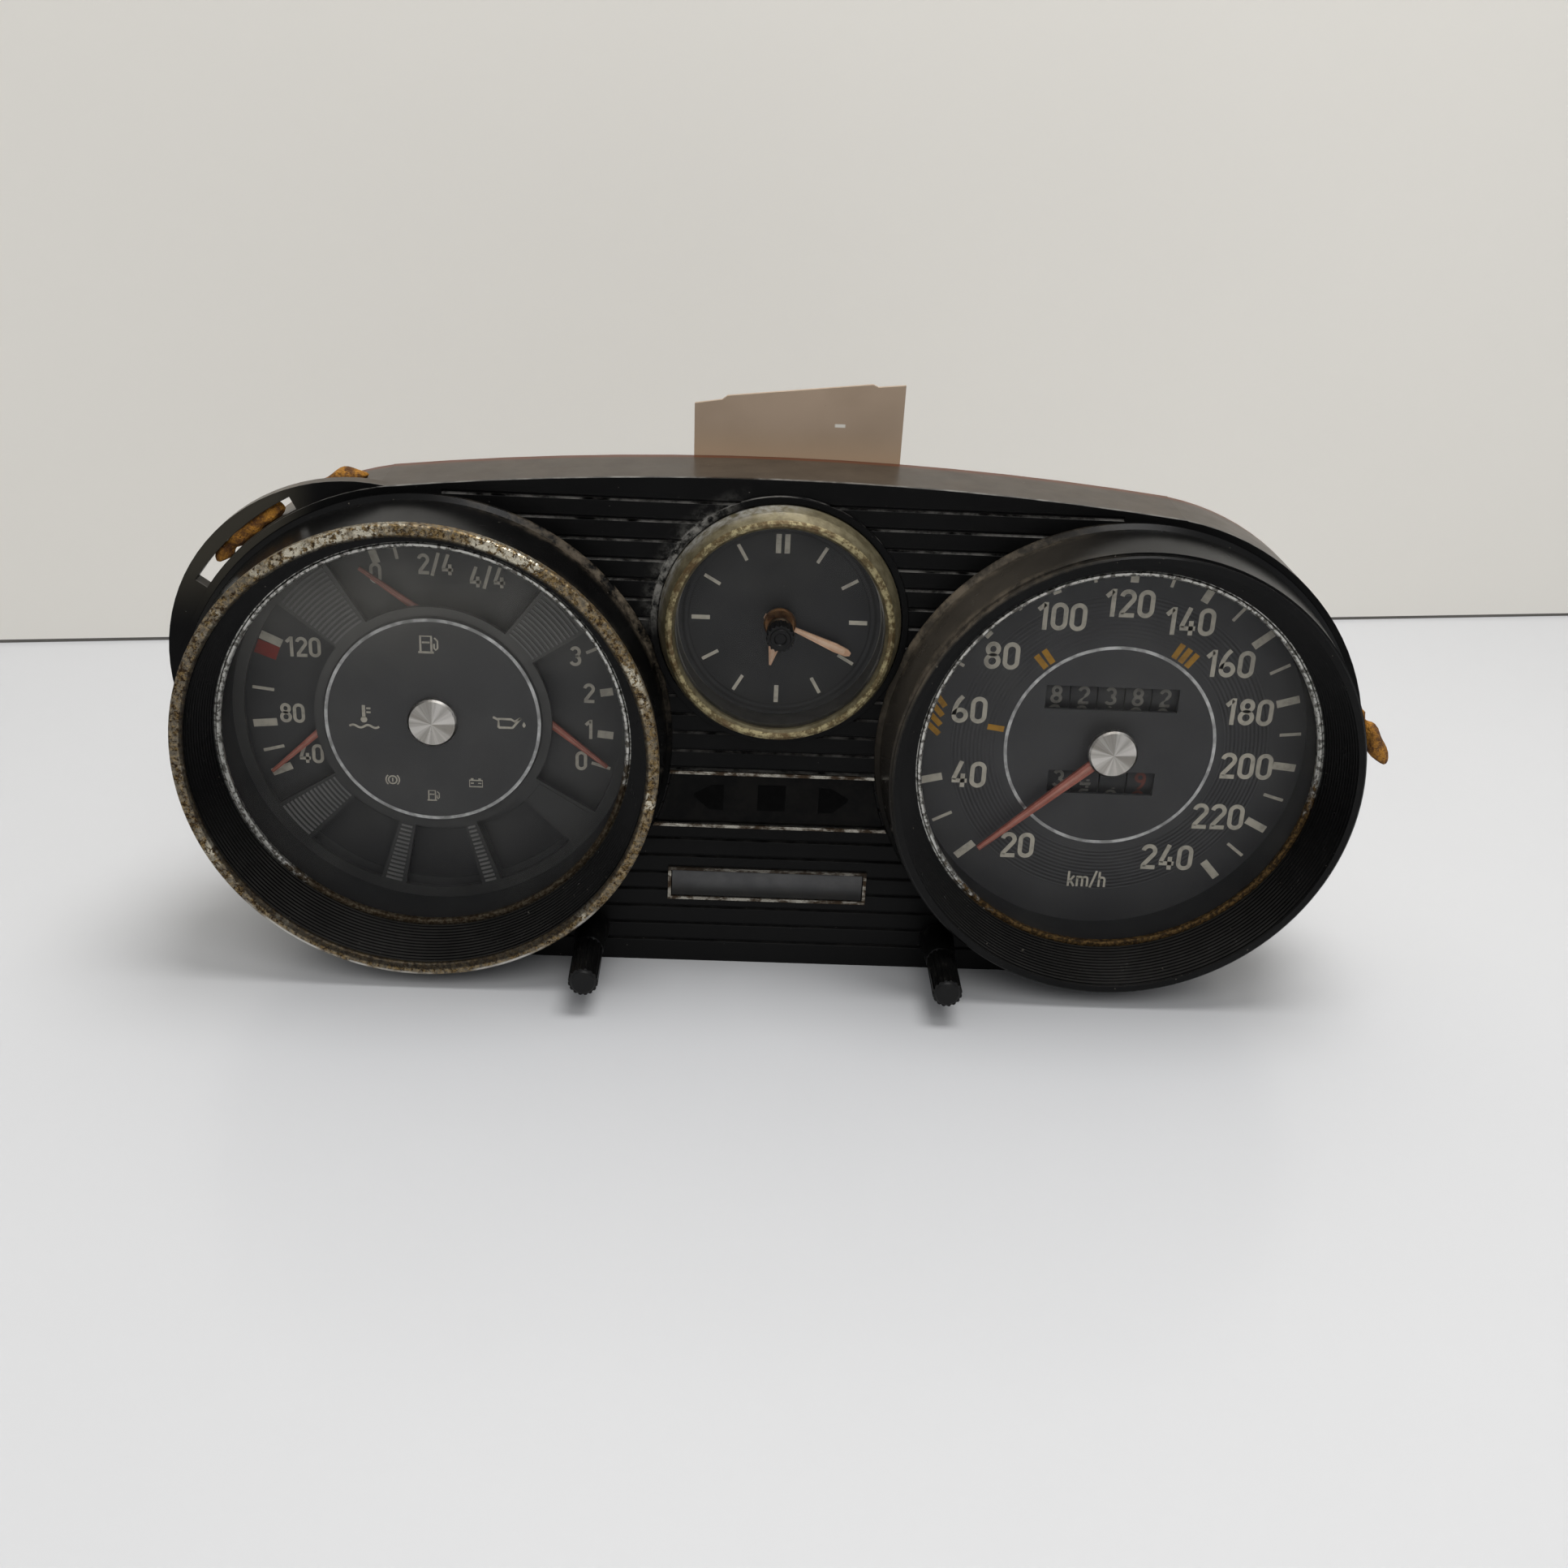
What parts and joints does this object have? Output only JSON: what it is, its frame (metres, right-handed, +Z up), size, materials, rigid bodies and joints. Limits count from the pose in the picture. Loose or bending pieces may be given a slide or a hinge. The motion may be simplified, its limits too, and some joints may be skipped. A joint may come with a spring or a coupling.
{
  "type": "instrument cluster",
  "caption": "Car instrument cluster: combined gauge and speedometer in round barrels on a ribbed panel, with a clock, indicator strip, counters and knobs.",
  "frame": {"origin": "on the flat underside of the shell, midway between the instrument axes, below the front of the gauge mask", "axes": "+X to the right seen from the driver's seat, +Y back into the dashboard, +Z up"},
  "size_m": [0.2932, 0.092, 0.1465],
  "materials": {
    "shell_plastic": "black moulded plastic, dusty and worn",
    "barrel_plastic": "black moulded plastic, satin outside, stepped throat",
    "pitted_chrome": "chrome, pitted and browned",
    "ring_chrome": "chrome, lightly pitted",
    "clear_glass": "clear, slightly hazy",
    "spacer_black": "flat black",
    "can_metal": "spun, dulled",
    "dial_grey": "dark grey dial lacquer",
    "cap_metal": "turned",
    "lens_red": "dark transparent lens",
    "movement_metal": "dull",
    "brass": "tarnished",
    "needle_red": "faded orange red",
    "drum_black": "black drum",
    "steel": "plated steel, dulled",
    "hand_peach": "lacquered, yellowed",
    "bush_brown": "browned brass",
    "knob_black": "black grooved plastic",
    "smoked_lens": "smoked lens",
    "window_grey": "grey window",
    "trim_chrome": "thin bright trim",
    "rheostat_ceramic": "ivory moulding",
    "holder_plastic": "ivory moulding",
    "bracket_steel": "brown grey sheet"
  },
  "bodies": {
    "cluster": {"housing": "shell_plastic", "back_plate": "shell_plastic", "plate_screws": "steel", "left_barrel": "barrel_plastic", "right_barrel": "barrel_plastic", "left_rim": "pitted_chrome", "left_glass_ring": "ring_chrome", "right_glass_ring": "ring_chrome", "left_glass": "clear_glass", "right_glass": "clear_glass", "left_spacer": "spacer_black", "right_spacer": "spacer_black", "gauge_can": "can_metal", "speedo_can": "can_metal", "gauge_mask": "dial_grey", "gauge_centre": "dial_grey", "gauge_cap": "cap_metal", "gauge_face": "dial_grey", "warning_lenses": "lens_red", "gauge_movements": "movement_metal", "gauge_terminals": "brass", "oil_union": "brass", "speedo_dial": "dial_grey", "speedo_frame": "movement_metal", "drive_bush": "brass", "clock_bezel": "pitted_chrome", "clock_glass": "clear_glass", "clock_case": "can_metal", "clock_dial": "dial_grey", "clock_bush": "bush_brown", "indicator_lens": "smoked_lens", "info_window": "window_grey", "centre_trims": "trim_chrome", "dimmer_body": "rheostat_ceramic", "lamp_holders": "holder_plastic", "wiring_socket": "holder_plastic", "bracket_stud": "steel"},
    "speed_hand": {"speed_needle": "needle_red", "speed_cap": "cap_metal", "speed_cup": "cap_metal"},
    "drive": {"drive_shaft": "steel"},
    "fuel_hand": {"fuel_needle": "needle_red"},
    "temp_hand": {"temp_needle": "needle_red"},
    "oil_hand": {"oil_needle": "needle_red"},
    "odo_1": {"odo_drum_1": "drum_black"},
    "odo_2": {"odo_drum_2": "drum_black"},
    "odo_3": {"odo_drum_3": "drum_black"},
    "odo_4": {"odo_drum_4": "drum_black"},
    "odo_5": {"odo_drum_5": "drum_black"},
    "trip_1": {"trip_drum_1": "drum_black"},
    "trip_2": {"trip_drum_2": "drum_black"},
    "trip_3": {"trip_drum_3": "drum_black"},
    "trip_4": {"trip_drum_4": "drum_black"},
    "hours": {"hour_hand": "hand_peach"},
    "minutes": {"minute_hand": "hand_peach"},
    "set_knob": {"clock_knob": "knob_black"},
    "dimmer": {"dimmer_knob": "knob_black"},
    "trip_reset": {"trip_knob": "knob_black"},
    "bracket": {"retaining_bracket": "bracket_steel"},
    "nut": {"knurled_nut": "steel"}
  },
  "joints": [
    {"name": "speed_swing", "type": "hinge", "parent": "cluster", "child": "speed_hand", "pos_m": [0.085, 0, 0.06152], "axis": [0, 1, 0], "range_deg": [0, 270], "stiffness_Nm_per_rad": 0.0002},
    {"name": "drive_spin", "type": "hinge", "parent": "cluster", "child": "drive", "pos_m": [0.085, 0, 0.06152], "axis": [0, 1, 0], "continuous": true},
    {"name": "fuel_swing", "type": "hinge", "parent": "cluster", "child": "fuel_hand", "pos_m": [-0.082, 0, 0.08512], "axis": [0, 1, 0], "range_deg": [0, 92]},
    {"name": "temp_swing", "type": "hinge", "parent": "cluster", "child": "temp_hand", "pos_m": [-0.1085, 0, 0.06142], "axis": [0, 1, 0], "range_deg": [0, 90]},
    {"name": "oil_swing", "type": "hinge", "parent": "cluster", "child": "oil_hand", "pos_m": [-0.0609, 0, 0.06452], "axis": [0, 1, 0], "range_deg": [-84, 0]},
    {"name": "odo_5_spin", "type": "hinge", "parent": "cluster", "child": "odo_5", "pos_m": [0.085, 0.0087, 0.07442], "axis": [1, 0, 0], "continuous": true},
    {"name": "odo_4_spin", "type": "hinge", "parent": "cluster", "child": "odo_4", "pos_m": [0.085, 0.0087, 0.07442], "axis": [1, 0, 0], "continuous": true},
    {"name": "odo_3_spin", "type": "hinge", "parent": "cluster", "child": "odo_3", "pos_m": [0.085, 0.0087, 0.07442], "axis": [1, 0, 0], "continuous": true},
    {"name": "odo_2_spin", "type": "hinge", "parent": "cluster", "child": "odo_2", "pos_m": [0.085, 0.0087, 0.07442], "axis": [1, 0, 0], "continuous": true},
    {"name": "odo_1_spin", "type": "hinge", "parent": "cluster", "child": "odo_1", "pos_m": [0.085, 0.0087, 0.07442], "axis": [1, 0, 0], "continuous": true},
    {"name": "trip_4_spin", "type": "hinge", "parent": "cluster", "child": "trip_4", "pos_m": [0.085, 0.0087, 0.05162], "axis": [1, 0, 0], "continuous": true},
    {"name": "trip_3_spin", "type": "hinge", "parent": "cluster", "child": "trip_3", "pos_m": [0.085, 0.0087, 0.05162], "axis": [1, 0, 0], "continuous": true},
    {"name": "trip_2_spin", "type": "hinge", "parent": "cluster", "child": "trip_2", "pos_m": [0.085, 0.0087, 0.05162], "axis": [1, 0, 0], "continuous": true},
    {"name": "trip_1_spin", "type": "hinge", "parent": "cluster", "child": "trip_1", "pos_m": [0.085, 0.0087, 0.05162], "axis": [1, 0, 0], "continuous": true},
    {"name": "set_turn", "type": "hinge", "parent": "cluster", "child": "set_knob", "pos_m": [0, 0, 0.09332], "axis": [0, 1, 0], "continuous": true},
    {"name": "minute_turn", "type": "hinge", "parent": "cluster", "child": "minutes", "pos_m": [0, 0, 0.09332], "axis": [0, 1, 0], "continuous": true},
    {"name": "hour_turn", "type": "hinge", "parent": "cluster", "child": "hours", "pos_m": [0, 0, 0.09332], "axis": [0, 1, 0], "continuous": true},
    {"name": "dimmer_turn", "type": "hinge", "parent": "cluster", "child": "dimmer", "pos_m": [-0.0445, 0, 0.00952], "axis": [0, 1, 0], "range_deg": [0, 270]},
    {"name": "trip_reset_turn", "type": "hinge", "parent": "cluster", "child": "trip_reset", "pos_m": [0.0445, 0, 0.00952], "axis": [0, 1, 0], "continuous": true},
    {"name": "bracket_slide", "type": "slide", "parent": "cluster", "child": "bracket", "axis": [0, 0, 1], "range_m": [-0.014, 0]},
    {"name": "nut_turn", "type": "hinge", "parent": "cluster", "child": "nut", "pos_m": [0.003, 0, 0.10652], "axis": [0, 1, 0], "continuous": true}
  ],
  "couplings": [
    {"joint": "odo_4_spin", "follows": "odo_5_spin", "ratio": 0.1},
    {"joint": "odo_3_spin", "follows": "odo_5_spin", "ratio": 0.01},
    {"joint": "odo_2_spin", "follows": "odo_5_spin", "ratio": 0.001},
    {"joint": "odo_1_spin", "follows": "odo_5_spin", "ratio": 0.0001},
    {"joint": "trip_4_spin", "follows": "trip_reset_turn", "ratio": 1},
    {"joint": "trip_3_spin", "follows": "trip_reset_turn", "ratio": 1},
    {"joint": "trip_2_spin", "follows": "trip_reset_turn", "ratio": 1},
    {"joint": "trip_1_spin", "follows": "trip_reset_turn", "ratio": 1},
    {"joint": "minute_turn", "follows": "set_turn", "ratio": 1},
    {"joint": "hour_turn", "follows": "set_turn", "ratio": 0.083333}
  ]
}
